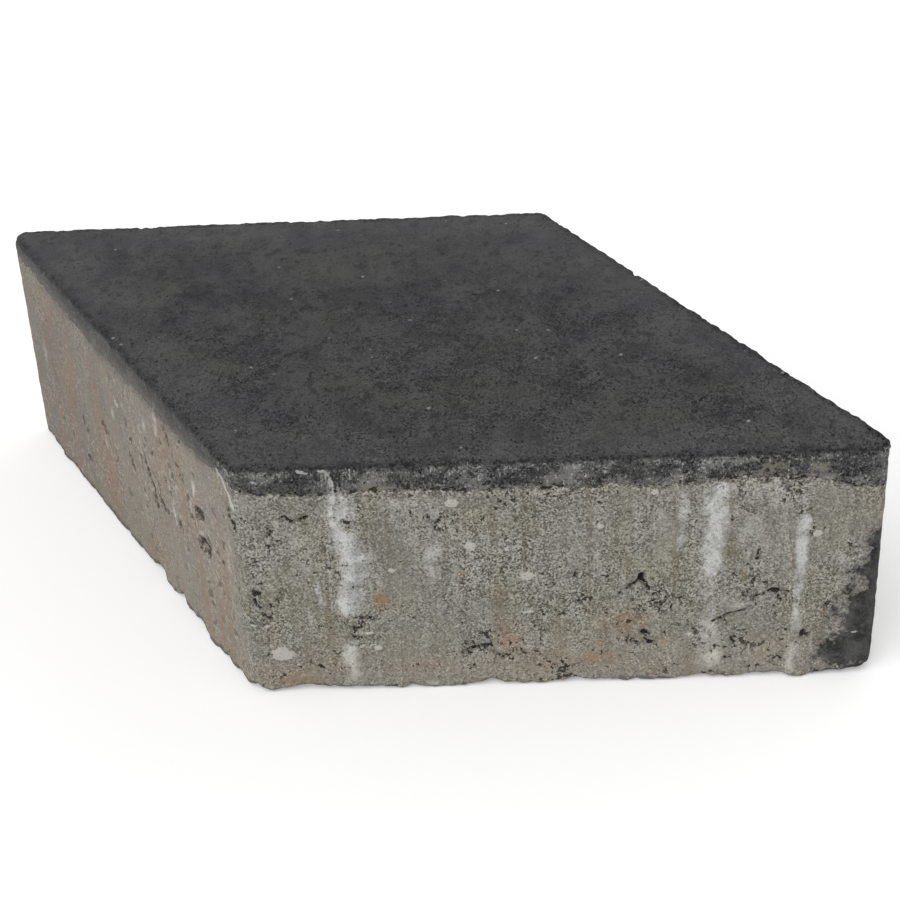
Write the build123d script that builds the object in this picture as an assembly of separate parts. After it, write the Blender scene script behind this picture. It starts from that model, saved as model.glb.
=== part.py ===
from build123d import *
import os
from math import cos, radians, sin

# A concrete paving stone with a rhombic plan, pressed in one mould from two mixes: a base block of
# grey concrete with spacer ribs on its four sides, and a dark face layer bonded to the top of it.
# Millimetres, +Z up. The origin is the middle of the bed face, and the front side runs along X.

# Whole stone
side_length = 190.0          # each of the four equal sides, measured to the sharp corners
acute_angle = 60.0           # plan angle at the front-right and back-left corners, in degrees
stone_height = 80.0          # bed face to walking face
corner_radius = 5.0          # rounding of the four upright corners

# Face layer
face_thickness = 9.0         # dark mix above the base block
arris_radius = 1.5           # rounding of the edge of the walking face

# Spacer ribs, one near each end of every side, which keep the joint to the next stone open
rib_width = 6.0              # across the rib, where it leaves the side
rib_depth = 1.0              # how far the rib stands out of the side
rib_set_down = 22.0          # upper end of the rib below the walking face
rib_taper = 4.0              # length of the upper end that slopes back into the side
rib_corner_distance = 29.0   # middle of the rib from the sharp corner of its side

base_height = stone_height - face_thickness
rib_height = stone_height - rib_set_down


def rhombus_corners():
    """Sharp corners of the plan, anticlockwise from the front-left one, centred on the origin."""
    lean = side_length * cos(radians(acute_angle))
    depth = side_length * sin(radians(acute_angle))
    front_left = Vector((lean - side_length) / 2, -depth / 2)
    front_right = front_left + Vector(side_length, 0)
    return [front_left, front_right, -front_left, -front_right]


def stone_plan():
    """Rhombus with its four corners rounded."""
    rhombus = Polygon(*rhombus_corners(), align=None)
    return fillet(rhombus.vertices(), corner_radius)


def spacer_rib():
    """Round rod sunk into a side that runs along X and faces -Y, with a sloping upper end."""
    radius = (rib_width**2 / 4 + rib_depth**2) / (2 * rib_depth)
    rod = extrude(Pos(0, radius - rib_depth) * Circle(radius), amount=rib_height)
    slope = Plane(origin=(0, 0, rib_height), z_dir=(0, -rib_taper, rib_depth))
    return split(rod, bisect_by=slope, keep=Keep.BOTTOM)


def rib_planes():
    """Bed planes of the ribs, two to a side, each with X along its side and Y into the stone."""
    corners = rhombus_corners()
    planes = []
    for start, end in zip(corners, corners[1:] + corners[:1]):
        along = (end - start).normalized()
        for distance in (rib_corner_distance, side_length - rib_corner_distance):
            planes.append(Plane(start + along * distance, x_dir=along))
    return planes


def base_block():
    """Plan carried up to the face layer, with the spacer ribs moulded on its sides."""
    rib = spacer_rib()
    return extrude(stone_plan(), amount=base_height) + [plane * rib for plane in rib_planes()]


def face_layer():
    """Same plan carried on up to the walking face, whose edge is rounded."""
    layer = Pos(0, 0, base_height) * extrude(stone_plan(), amount=face_thickness)
    walking_face = layer.faces().sort_by(Axis.Z)[-1]
    return fillet(walking_face.edges(), arris_radius)


os.makedirs("parts", exist_ok=True)
export_step(base_block(), "parts/base_block.step")
export_step(face_layer(), "parts/face_layer.step")
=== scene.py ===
import itertools
from math import cos, pi, radians, sin
from types import SimpleNamespace

import bpy
import numpy as np
from mathutils import Matrix, Vector


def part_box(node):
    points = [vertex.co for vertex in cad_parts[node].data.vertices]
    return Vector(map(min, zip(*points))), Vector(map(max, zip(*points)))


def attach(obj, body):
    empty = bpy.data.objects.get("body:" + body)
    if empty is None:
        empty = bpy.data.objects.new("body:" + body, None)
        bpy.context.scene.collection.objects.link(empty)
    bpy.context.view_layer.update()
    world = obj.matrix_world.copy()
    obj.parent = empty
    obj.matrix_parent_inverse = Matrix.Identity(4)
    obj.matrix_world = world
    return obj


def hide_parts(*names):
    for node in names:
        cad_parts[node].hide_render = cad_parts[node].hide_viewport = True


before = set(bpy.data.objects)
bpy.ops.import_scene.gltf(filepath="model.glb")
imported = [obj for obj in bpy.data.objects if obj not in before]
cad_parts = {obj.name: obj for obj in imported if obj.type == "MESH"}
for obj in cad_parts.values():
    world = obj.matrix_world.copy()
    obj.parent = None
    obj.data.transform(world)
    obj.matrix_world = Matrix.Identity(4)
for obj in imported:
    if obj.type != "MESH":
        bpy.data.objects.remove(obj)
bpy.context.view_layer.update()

# A rhombic paving stone of two concretes. The skins are worked out in millimetres, with the sides
# numbered anticlockwise: 0 front, 1 right, 2 back, 3 left. A place on a side is how far it lies along
# that side from its first sharp corner, and how high above the bed.

MM = 0.001
FRONT, RIGHT, BACK, LEFT = range(4)

# Sizes of the stone, the outer ones from the frame
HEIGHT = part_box("face_layer")[1].z / MM
LAYER_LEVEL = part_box("base_block")[1].z / MM
DEPTH = (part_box("face_layer")[1].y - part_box("face_layer")[0].y) / MM
ACUTE = radians(60)
SIDE = DEPTH / sin(ACUTE)
CORNER_RADIUS = 5.0
ARRIS_RADIUS = 1.1
BED_EDGE_RADIUS = 0.9

# Spacer ribs: half their width, how far they stand out, and how high they reach
RIB_HALF_WIDTH = 3.0
RIB_DEPTH = 0.9
RIB_TOP = HEIGHT - 22.0

# Width over which the mask of a hole or a line, and that of the dark corner, runs from 0 to 1
MASK_SLOPE = 3.2
STAIN_SLOPE = 12.0

# Pits strewn over the sides and pores over the walking face
PIT_SPACING = 3.4
SMALLEST_PIT = 0.1
PORE_SPACING = 2.6

# Value of the distance masks away from every border and arris
FAR = 9.0

# Fineness of the skins, and how far the coarse part of a cap lies inside its ring
COLUMNS = 256
BASE_ROWS = 78
FACE_ROWS = 12
EDGE_ROWS = 4
COARSE = 4
CAP_INSET = 3.0
LATTICE = 64

# Texture map of each piece, as left, foot, width and height: the sides, the shown cap, the hidden cap
BASE_MAP = (
    [(0.0, 0.25 * side, 0.665, 0.245) for side in range(4)],
    (0.675, 0.0, 0.32, 0.6),
    (0.675, 0.62, 0.32, 0.375),
)
FACE_MAP = (
    [(0.0, 0.87 + 0.0325 * side, 0.86, 0.03) for side in range(4)],
    (0.0, 0.0, 0.86, 0.86),
    (0.87, 0.0, 0.125, 0.86),
)
MAP_RIM = 0.02

# Photograph's camera: place and angles that put the stone's edges where the picture has them
CAMERA_PLACE = (26.4, -540.9, 369.4)
CAMERA_AZIMUTH, CAMERA_DIP, CAMERA_ROLL = radians(-1.43), radians(31.84), radians(2.73)

# Its focal length as a share of the film's width, that width, and the nearest it sees in metres
CAMERA_FOCAL_SHARE = 2.1448
CAMERA_FILM = 36.0
CAMERA_NEAR = 0.01

# Light of the sky, as a share of the level at which a colour renders as it is written
SKY = 0.5

# Lamps: name, direction towards the lamp, share of that level, spread in degrees
LAMPS = (
    ("key", (-0.4, -0.52, 0.755), 0.5, 50),
    ("back", (0.6, 0.6, 0.5), 0.12, 60),
)

# Floor: the glow that the camera sees, half its side in metres, and its grey
FLOOR_GLOW = 0.22
FLOOR_HALF = 6.0
FLOOR_GREY = (0.92, 0.92, 0.92, 1)
WHITE = (1, 1, 1, 1)

# Finish of the two concretes: specular level, and depth of each one's bump
SPECULAR = 0.12
BASE_BUMP = 0.45
FACE_BUMP = 0.55


def by_side(lists):
    """Marks of all four sides in one list, each with its side in front."""
    return [(side, *mark) for side, marks in lists.items() for mark in marks]


# Thickness of the dark layer round the stone, side by side, as (along, thickness)
LAYER_THICKNESS = {
    FRONT: (
        (0, 7), (8, 8.4), (26, 8.8), (45, 8), (66, 8.7), (93, 9), (104, 9.6), (108.6, 8.1), (116, 9.8),
        (132, 8.8), (141, 8.6), (145, 7.2), (150, 7.6), (158, 8.4), (166, 8.6), (173, 10.2), (178, 11.6),
        (190, 13.5),
    ),
    RIGHT: ((0, 13.5), (12, 10.5), (40, 8.4), (90, 9.4), (130, 8), (190, 8.8)),
    BACK: ((0, 8.8), (60, 9.6), (110, 8), (150, 8.4), (175, 5.8), (190, 4.2)),
    LEFT: (
        (0, 4.2), (12, 6.2), (25, 6.6), (50, 7.7), (73, 8.8), (86, 8.8), (108, 8.3), (129, 8.1),
        (141, 8.3), (160, 7.4), (171, 7), (180, 5.4), (187, 4.6), (190, 7),
    ),
}

# Width over which the two mixes run into each other, as (along, width)
BORDER_BLUR = {
    FRONT: (
        (0, 0.5), (30, 0.6), (38, 1.8), (58, 1.5), (68, 0.7), (100, 0.6), (134, 0.7), (146, 1.6),
        (158, 1.6), (170, 0.7), (190, 0.6),
    ),
    RIGHT: ((0, 0.6), (60, 1.4), (100, 0.7), (150, 1.5), (190, 0.7)),
    BACK: ((0, 0.7), (50, 1.6), (90, 0.7), (140, 1.2), (190, 1.2)),
    LEFT: ((0, 1.2), (60, 1.6), (150, 1.5), (180, 0.8), (190, 0.5)),
}

# How far the worn lower edge lies above the bed, as (along, rise)
BED_EDGE_RISE = {
    FRONT: (
        (0, 2.4), (2, 1.6), (5.6, 0.7), (10.5, 1.8), (16.7, 2), (21.7, 1.2), (26.6, 0.9), (30.3, 1.4),
        (36.5, 0.9), (45, 0.4), (48, 1), (52.6, 0.4), (57.6, 0), (61.3, 0.8), (63.2, 0.4), (68.7, 1.1),
        (71.8, 1.9), (76.2, 0.8), (84, 0.4), (92.3, 1), (98.5, 1.6), (103.4, 0.9), (107, 1.1), (111, 0.6),
        (127, 0.6), (134, 1.2), (143, 0.7), (153, 1.3), (159, 1.2), (165.3, 0.1), (169, 1), (176.5, 1.8),
        (186, 2), (190, 3.2),
    ),
    RIGHT: (
        (0, 3.2), (4, 1.6), (30, 0.6), (44, 1.4), (60, 0.3), (95, 1.2), (120, 0.4), (150, 1), (186, 0.8),
        (190, 1.8),
    ),
    BACK: (
        (0, 1.8), (5, 0.8), (35, 1.3), (70, 0.3), (88, 1.5), (110, 0.5), (150, 1.1), (184, 0.6),
        (190, 0.9),
    ),
    LEFT: (
        (0, 0.9), (5, 1), (30, 0.7), (50, 0.1), (58, 0.7), (75, 0.4), (83, 0), (88, 0.7), (110, 1.1),
        (113, 2), (116, 2.4), (119, 1.7), (122, 0.8), (128, 0.2), (131, 1.1), (134, 2.7), (137, 1.5),
        (140, 0.6), (149, 1.4), (155, 0.7), (158, 0.1), (167, 0.1), (170, 0.8), (176, 0.7), (179, 1.6),
        (182, 0.8), (186, 1), (190, 2.4),
    ),
}

# Places of the spacer ribs: along
RIBS = by_side({
    FRONT: ((31.2,), (162.7,)),
    RIGHT: ((29,), (161,)),
    BACK: ((29,), (161,)),
    LEFT: ((29,), (160,)),
})

# Lime streaks: along at the top and at the foot, top and foot height, half width, strength
LIME_STREAKS = by_side({
    FRONT: (
        (26, 28.2, 79, 74, 1.4, 0.8), (27.9, 27.7, 75, 62, 0.9, 0.8), (31.2, 32, 71, 60, 4.2, 0.6),
        (30.5, 30.8, 74, 66, 0.5, 0.9), (33.2, 33.8, 71, 62, 0.8, 0.75), (31.6, 32, 59, 46, 4.7, 1.05),
        (32, 31.2, 49, 30, 4.5, 1.05), (30.4, 29.5, 20, 3, 2.7, 0.75), (138, 137.2, 71.5, 54, 5.6, 0.8),
        (137.4, 136.4, 62, 39, 3.3, 1), (136.8, 136, 38, 4, 4, 0.48), (149, 147.5, 70, 44, 8, 0.3),
        (162.9, 162.6, 59, 38, 1.6, 1.3), (162.4, 162.1, 40, 18, 1.3, 0.95),
        (162, 161.6, 13, 1, 2.2, 0.65), (56.4, 55.6, 66, 40, 3.2, 0.46),
        (128.3, 127.8, 68, 48, 2.4, 0.52), (21.2, 23.6, 41, 30, 1.3, 0.75),
    ),
    RIGHT: (
        (29, 29.2, 59, 41, 2, 0.75), (29.4, 28.8, 34, 14, 2.8, 0.5), (92, 93.5, 72, 46, 5.5, 0.6),
        (94, 94.6, 52, 30, 2.6, 0.7), (161, 160.6, 58, 36, 1.8, 0.65),
    ),
    BACK: (
        (40, 41, 74, 50, 6, 0.55), (41.5, 42, 56, 36, 2.6, 0.7), (118, 117.6, 70, 55, 2.4, 0.5),
        (116.8, 116, 40, 22, 3.4, 0.4), (161, 161.3, 59, 43, 1.7, 0.8), (160.6, 161, 36, 24, 1.3, 0.6),
    ),
    LEFT: ((132.2, 130.6, 74, 63, 1.5, 1.6),),
})

# Lime patches: along, height, half length, half height, strength
LIME_PATCHES = by_side({
    FRONT: (
        (136.5, 18.5, 2.8, 4.4, 1.2), (137.5, 8.5, 3.4, 4.6, 1.05), (131, 17, 1.6, 1.4, 0.7),
        (34.4, 44.6, 3.4, 3.6, 0.95), (28, 60.5, 1.3, 3, 0.9), (30.4, 13, 2.8, 3.4, 0.65),
        (54, 2, 3, 1.6, 0.6), (163, 19, 1.6, 2.6, 0.8), (156, 69, 3, 3, 0.5), (46, 67, 6, 3, 0.4),
        (15, 50, 14, 18, 0.3), (144, 27, 5.5, 3.5, 0.55), (124, 12, 9, 6, 0.32), (151, 11, 8, 5, 0.36),
        (124, 54, 9, 15, 0.28), (180, 58, 8, 10, 0.16),
    ),
    RIGHT: ((92, 30, 3, 5, 0.8), (160, 15, 3, 4, 0.6)),
    BACK: ((40.5, 48, 4, 6, 0.7), (161.4, 9, 2.6, 4, 0.7), (78, 63, 5, 4, 0.4)),
    LEFT: (
        (130, 67.6, 1.7, 3.4, 0.85), (158.7, 57.4, 1.6, 3, 0.95), (138.6, 37.8, 1.7, 2.8, 0.9),
        (134.8, 61, 1.4, 2.4, 0.9), (78.6, 32.9, 1.9, 2.8, 1.1), (89.9, 49.4, 1.8, 2.8, 0.7),
        (162, 43.2, 2, 1.4, 0.85), (157.2, 48.6, 1.2, 2.6, 0.8), (120, 60, 1.6, 2.6, 0.75),
        (147, 52, 1.4, 2.2, 0.75), (22, 40, 3, 14, 0.35),
    ),
})

# Holes and cracks: path of (along, height) places, half width, depth
HOLLOWS = by_side({
    FRONT: (
        (((116.7, 39.2), (116.2, 37.4), (115.9, 36.9)), 0.7, 3.2),
        (((115.9, 36.9), (113.7, 35.6)), 0.45, 2.4), (((116.2, 37.2), (117.6, 36.1)), 0.5, 2.4),
        (((113.7, 35.6), (112.1, 34.4), (110.3, 33.1)), 0.22, 1),
        (((117.5, 36.1), (118.9, 33.8), (117.9, 32)), 0.36, 1.3),
        (((116.2, 27), (116.6, 25.2), (116.2, 24)), 0.32, 1),
        (((64.1, 13.1), (65.9, 14.2), (68.9, 14.8), (71.9, 15.5), (73, 12.4), (75.4, 10.4)), 0.36, 1.6),
        (((64.2, 12.9), (66, 12.4)), 0.4, 1.4), (((137.8, 21.3), (141.8, 23.5), (147, 25.1)), 0.34, 1.5),
        (((141.1, 22.6), (142.1, 20.1)), 0.26, 1.1),
        (((147.3, 30.1), (149.4, 29.6), (152.6, 31), (155, 31.8)), 0.28, 1.2),
        (((154.6, 31.9), (156.8, 31.6)), 0.75, 2.2), (((156.8, 31.8), (159.6, 31.3)), 0.34, 1.3),
        (((156, 31.2), (157.6, 28.4)), 0.24, 1), (((149.4, 29.4), (150.4, 27.4)), 0.22, 0.9),
        (((13.5, 63.4), (15.7, 62), (17.7, 62.2), (20.3, 63.2)), 0.4, 1.6),
        (((10.2, 58.6), (8.6, 56.8)), 0.3, 1), (((2.6, 37.6), (4.4, 36.8)), 0.6, 1.4),
        (((3, 35), (3.8, 32.4), (4.4, 31.6)), 0.45, 1.2),
        (((5, 29.6), (6.4, 27.8), (7.2, 28.2)), 0.5, 1.2), (((7.4, 33.4), (8, 31.2)), 0.4, 1),
        (((30.6, 20.6), (32, 19.4), (33, 19.8)), 0.45, 1.6), (((31.2, 24), (33.4, 23.4)), 0.35, 1.1),
        (((20.2, 9.4), (21.4, 8.4)), 0.45, 1.4), (((117.2, 18.4), (118.4, 17.4)), 0.75, 1.9),
        (((119, 15), (120.4, 14.4)), 0.5, 1.3), (((124.4, 29.2), (125.9, 28), (125.2, 26.8)), 0.22, 0.9),
        (((113, 17.2), (115.4, 13.8)), 0.35, 1),
        (((54.9, 62.5), (56.4, 60), (58.4, 61), (57, 57.6)), 0.26, 1),
        (((30.6, 61.6), (32.4, 60.6)), 0.45, 1.2), (((101, 27.2), (99.6, 26.2), (97.6, 26.8)), 0.24, 0.8),
        (((94, 26.4), (92, 25.4)), 0.3, 0.9), (((164.6, 17), (164.2, 15.4), (166, 15.2)), 0.55, 1.5),
        (((170, 25), (171.8, 27.6)), 0.3, 1), (((66.4, 35.9),), 0.55, 1.1), (((91, 37.1),), 0.5, 1.1),
        (((94, 44.9),), 0.3, 0.9), (((97.4, 41.6), (97, 39.6)), 0.28, 0.9), (((86.5, 15.2),), 0.35, 1),
        (((137.6, 10.4),), 0.55, 1.2), (((143.6, 14.2), (144.4, 13.2)), 0.45, 1.2),
        (((156.4, 6.6), (157.8, 7.6), (159, 6.4)), 0.35, 1.2),
        (((141, 6.2), (141.6, 8), (144, 8.2)), 0.24, 0.9), (((143.4, 38.6), (144.8, 36.4)), 0.24, 0.9),
        (((150.6, 47.4), (149.8, 43.2)), 0.26, 1), (((33.4, 27.4), (36.6, 26.6)), 0.24, 0.9),
        (((9.1, 60), (9.6, 58)), 0.28, 1), (((5.6, 14.6), (4.6, 12.6)), 0.3, 1),
        (((88, 70.6), (91, 70.2)), 0.4, 1), (((178.6, 70.2), (180.2, 70.4)), 0.25, 0.7),
    ),
    RIGHT: (
        (((52, 22), (56, 24), (58, 21)), 0.4, 1.5), (((112, 42), (114, 40)), 0.9, 2),
        (((148, 15), (152, 13.5), (155, 15)), 0.35, 1.4), (((84, 58), (86, 57)), 0.5, 1.1),
        (((70, 35), (71.5, 33)), 0.45, 1.1),
    ),
    BACK: (
        (((22, 26), (26, 25), (29, 27)), 0.38, 1.5), (((84, 14), (86, 12)), 0.9, 2),
        (((130, 48), (134, 46)), 0.4, 1.3), (((104, 34), (105, 32)), 0.5, 1.2),
        (((56, 52), (57.5, 50.5)), 0.45, 1),
    ),
    LEFT: (
        (((161.8, 39.8), (164.2, 38.6), (163.6, 36.4)), 1.9, 2), (((166.4, 41),), 0.9, 0.8),
        (((160, 36.2), (159.2, 38.2)), 0.8, 0.7), (((161, 51.4), (163.2, 49)), 1.3, 0.9),
        (((160.2, 47.6),), 1, 0.7), (((185, 64.4), (185.4, 61)), 0.9, 0.9),
        (((187.8, 61.4), (187.6, 58.6)), 0.8, 0.9), (((121, 38.8), (122, 37.2)), 1.1, 0.8),
        (((122.6, 34.6), (121.6, 33.6)), 1, 0.7), (((122.9, 31.4),), 1.1, 0.7),
        (((118.4, 42.6), (119.4, 41.2)), 0.9, 0.7), (((116.2, 44.6),), 0.9, 0.6),
        (((101.6, 39.6), (102.8, 38.6)), 1.1, 0.7), (((104.4, 35.8),), 1.2, 0.7),
        (((146, 58.8), (147.6, 57)), 0.9, 0.7), (((149.8, 55.6),), 0.8, 0.6),
        (((139, 66.4), (140.4, 64)), 0.9, 0.7), (((128, 35.8), (129.8, 34.4)), 1.2, 0.8),
        (((132.4, 33.6),), 0.9, 0.6), (((141.8, 34.8), (142.8, 32.8)), 1.1, 0.8),
        (((144.6, 31),), 0.8, 0.6), (((55.6, 14.2),), 1.5, 0.8), (((56.6, 30.4),), 1.4, 0.7),
        (((59.4, 26.6),), 1, 0.6), (((77.8, 38.9), (79.8, 37.6)), 1.2, 0.8), (((159.6, 62),), 0.8, 0.6),
        (((105.2, 46.8),), 1, 0.6), (((133, 46.2),), 0.9, 0.6), (((150.6, 70),), 1, 0.7),
        (((171.2, 29.6),), 0.9, 0.6), (((112.2, 25),), 0.9, 0.6), (((30.4, 57.2),), 1.1, 0.6),
        (((134.2, 60.6),), 1, 0.6), (((124.6, 52.4),), 1, 0.6), (((176, 40),), 0.9, 0.6),
        (((154, 44.6),), 0.9, 0.6),
    ),
})

# Where the mix is most open: along, height, half length, half height, strength
OPEN_ZONES = by_side({
    FRONT: (
        (5, 32, 7, 10, 0.25), (17, 58, 9, 6, 0.2), (33, 23, 9, 5, 0.22), (98, 27, 11, 4, 0.35),
        (118, 17, 9, 6, 0.35), (142, 18, 12, 8, 0.1), (154, 31, 9, 5, 0.15), (62, 58, 9, 7, 0.35),
        (93, 69, 8, 3, 0.35), (160, 66, 4, 5, 0.3), (68, 13, 11, 4, 0.35), (78, 18, 8, 8, 0.25),
        (92, 44, 8, 8, 0.2), (20, 10, 10, 6, 0.25), (150, 8, 14, 6, 0.25), (147, 42, 6, 8, 0.25),
        (36, 68, 5, 4, 0.3),
    ),
    RIGHT: ((60, 20, 18, 8, 0.25), (110, 40, 10, 8, 0.25), (150, 14, 14, 7, 0.25), (30, 60, 8, 6, 0.25)),
    BACK: ((24, 24, 12, 8, 0.25), (82, 14, 16, 7, 0.25), (132, 46, 9, 8, 0.25), (164, 22, 10, 8, 0.25)),
    LEFT: ((132, 48, 34, 18, 0.35), (168, 46, 20, 20, 0.35), (182, 24, 12, 20, 0.25)),
})

# Where the mix is fine and closed: along, height, half length, half height, strength
SMOOTH_ZONES = by_side({
    FRONT: (
        (172, 57, 12, 15, 0.9), (152, 60, 10, 12, 0.8), (124, 52, 9, 15, 0.6), (144, 27, 5, 4, 0.8),
        (106, 11, 9, 5, 0.7), (46, 44, 9, 17, 0.6), (74, 30, 6, 10, 0.4), (16, 5, 9, 4, 0.5),
    ),
    RIGHT: ((75, 56, 16, 12, 0.7), (170, 42, 12, 20, 0.6)),
    BACK: ((110, 60, 20, 12, 0.7), (52, 22, 14, 12, 0.6)),
})

# Base concrete dragged up over the dark band: along, height, half length, half height, strength
SMEARS = by_side({
    FRONT: (
        (153.5, 75.4, 4.6, 2, 1), (167, 74.6, 5, 2.4, 0.8), (42, 73.4, 6, 1.8, 0.8),
        (100, 74, 4, 1.5, 0.5),
    ),
    RIGHT: ((62, 74.6, 7, 2.2, 0.9),),
    BACK: ((122, 75, 7, 2.2, 0.9),),
})

# Where the dark band stays unscuffed: along, height, half length, half height, strength
DULL_ZONES = by_side({
    FRONT: ((15, 73.2, 12, 3.2, 0.9),),
    RIGHT: ((120, 74, 16, 4, 0.7),),
    BACK: ((70, 74, 14, 4, 0.7),),
})

# Thin pale lines, scraped or left by lime: path of (along, height) places, half width
SCRATCHES = by_side({
    FRONT: (
        (((178.8, 16.2), (182.8, 15.6)), 0.12), (((174.5, 4.6), (176.5, 1.8)), 0.25),
        (((25.2, 79), (27.4, 78.6), (28.4, 74), (28.6, 68)), 0.5), (((30.2, 75), (30.6, 69)), 0.25),
        (((31.8, 76.5), (32, 68)), 0.2), (((33.8, 79), (34, 75.5)), 0.2), (((35.2, 79), (35.6, 76)), 0.2),
        (((67.4, 79.4), (69.4, 78), (71.2, 78.6)), 0.35), (((69.6, 78), (70.2, 74.5)), 0.2),
        (((6, 76), (8.5, 75.2), (10.5, 76.4)), 0.3), (((19, 79), (22, 78.2)), 0.35),
        (((127.6, 77.5), (127.8, 70)), 0.12), (((130, 78), (130.2, 69)), 0.12),
        (((133.6, 78), (133.8, 72)), 0.15), (((138.8, 79), (139, 72)), 0.2),
        (((141, 76.5), (141.2, 70.5)), 0.15), (((157.5, 77), (157.6, 71)), 0.12),
        (((1.2, 25.6), (4, 24.9), (6.6, 25.2)), 0.35), (((36, 17.2), (40.4, 16.4)), 0.35),
        (((33, 22.2), (36.6, 21.4)), 0.4), (((82, 26.8), (84.6, 28.6)), 0.35),
    ),
    LEFT: ((((180, 75.4), (184, 73.4), (187, 70.6), (188.6, 66.5)), 0.7),),
})

# Pebbles laid bare: along, height, half length, half height
PEBBLES = by_side({
    FRONT: (
        (9.6, 14.6, 3.4, 2.4), (66.9, 51.6, 1.6, 1.5), (83.1, 40.3, 2, 1.4), (62.3, 66.7, 2, 1.4),
        (77.6, 50.2, 1, 0.6), (83.3, 27.6, 2, 0.5), (38.3, 15.8, 1.4, 0.8), (33.7, 17, 1, 0.8),
        (120, 68, 1.4, 0.9), (167, 52, 1.4, 1), (104.5, 57, 1.2, 0.9), (44, 44, 1.1, 0.8),
    ),
    RIGHT: ((48, 30, 2.6, 1.9), (120, 52, 1.8, 1.3), (140, 16, 2.2, 1.6)),
    BACK: ((70, 26, 2.4, 1.8), (98, 58, 1.6, 1.2), (140, 38, 2, 1.5)),
    LEFT: ((96, 56, 1.6, 1.2),),
})

# Rusty patches: along, height, half length, half height, strength
RUST_PATCHES = by_side({
    FRONT: (
        (39.8, 33.4, 3, 3.6, 0.9), (112, 22, 6.5, 5.5, 0.6), (104.4, 14.9, 1.1, 0.9, 1.6),
        (103, 9.5, 7, 3, 0.8), (123.8, 15.2, 3, 2.4, 0.5), (144.1, 27.3, 4, 5, 0.35),
        (13.9, 4.5, 7, 3.5, 0.85), (7, 22, 3, 7, 0.35), (4, 8, 4, 4, 0.45), (26, 9, 4, 3, 0.4),
        (52, 9, 9, 4, 0.5), (77, 17, 4, 7, 0.7), (88, 8, 8, 4, 0.5), (186, 62, 4, 10, 0.3),
        (64, 42, 1.6, 1.2, 0.7), (66, 60, 9, 9, 0.2), (152, 12, 6, 5, 0.3),
    ),
    RIGHT: ((70, 14, 9, 6, 0.5), (135, 24, 6, 8, 0.4)),
    BACK: ((30, 12, 9, 5, 0.5), (126, 18, 8, 7, 0.5)),
    LEFT: ((78, 16, 20, 13, 0.45), (112, 11, 16, 9, 0.5), (44, 34, 5, 22, 0.3), (160, 16, 8, 14, 0.3)),
})

# Burr on the arris: side, along, half length, height
BURR = (RIGHT, 4.0, 2.0, 0.8)

# Dark corner at the front right, by height: where it begins on the front and ends on the right side
STAIN_HEIGHTS = (0, 3, 9, 18, 24, 37, 49, 62)
STAIN_FROM = (168, 168, 169, 174, 176, 180, 184, 193)
STAIN_TO = (24, 23, 20, 17, 14, 8, 3, -4)


def srgb(red, green, blue):
    """Linear colour of an 8-bit screen colour."""
    share = np.array([red, green, blue]) / 255
    linear = np.where(share <= 0.04045, share / 12.92, ((share + 0.055) / 1.055) ** 2.4)
    return (*linear.tolist(), 1.0)


def tones(**screen_colours):
    """Linear colours by name, from 8-bit screen colours."""
    return SimpleNamespace(**{name: srgb(*colour) for name, colour in screen_colours.items()})


def value_noise(points, size, seed):
    """Random numbers from -1 to 1 at the points of a cubic lattice, eased between them by 3t^2 - 2t^3."""
    table = np.random.default_rng(seed).uniform(-1, 1, (LATTICE,) * 3)
    scaled = points / np.asarray(size)
    home = np.floor(scaled).astype(int)
    ease = scaled - home
    ease = ease * ease * (3 - 2 * ease)
    total = 0.0
    for corner in itertools.product((0, 1), repeat=3):
        index = (home + corner) % LATTICE
        weight = np.prod(np.where(corner, ease, 1 - ease), axis=-1)
        total = total + weight * table[index[..., 0], index[..., 1], index[..., 2]]
    return total


def rough_noise(points, size, seed, octaves=3):
    """Sum of value noises, each of half the size and half the strength of the one before."""
    total = 0.0
    for octave in range(octaves):
        total = total + value_noise(points, np.asarray(size) / 2**octave, seed + octave) / 2**octave
    return total


def strewn_points(points, size, seed):
    """Distance to the nearest of points strewn one to a cubic cell, and that point's number."""
    rng = np.random.default_rng(seed)
    place = rng.random((LATTICE,) * 3 + (3,))
    number = rng.random((LATTICE,) * 3)
    scaled = points / size
    home = np.floor(scaled).astype(int)
    nearest = np.full(points.shape[:-1], np.inf)
    chance = np.zeros(points.shape[:-1])
    for step in itertools.product((-1, 0, 1), repeat=3):
        cell = home + step
        index = cell % LATTICE
        at = (index[..., 0], index[..., 1], index[..., 2])
        distance = np.linalg.norm(cell + place[at] - scaled, axis=-1)
        closer = distance < nearest
        chance = np.where(closer, number[at], chance)
        nearest = np.minimum(nearest, distance)
    return nearest * size, chance


def ramp(values, low, high):
    """0 at low and 1 at high, held beyond them and eased between."""
    share = np.clip((values - low) / (high - low), 0, 1)
    return share * share * (3 - 2 * share)


def plan_corners():
    """Sharp corners of the rhombus, anticlockwise from the front-left one."""
    lean = SIDE * cos(ACUTE)
    front_left = np.array([(lean - SIDE) / 2, -DEPTH / 2])
    front_right = front_left + (SIDE, 0)
    return np.array([front_left, front_right, -front_left, -front_right])


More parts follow.
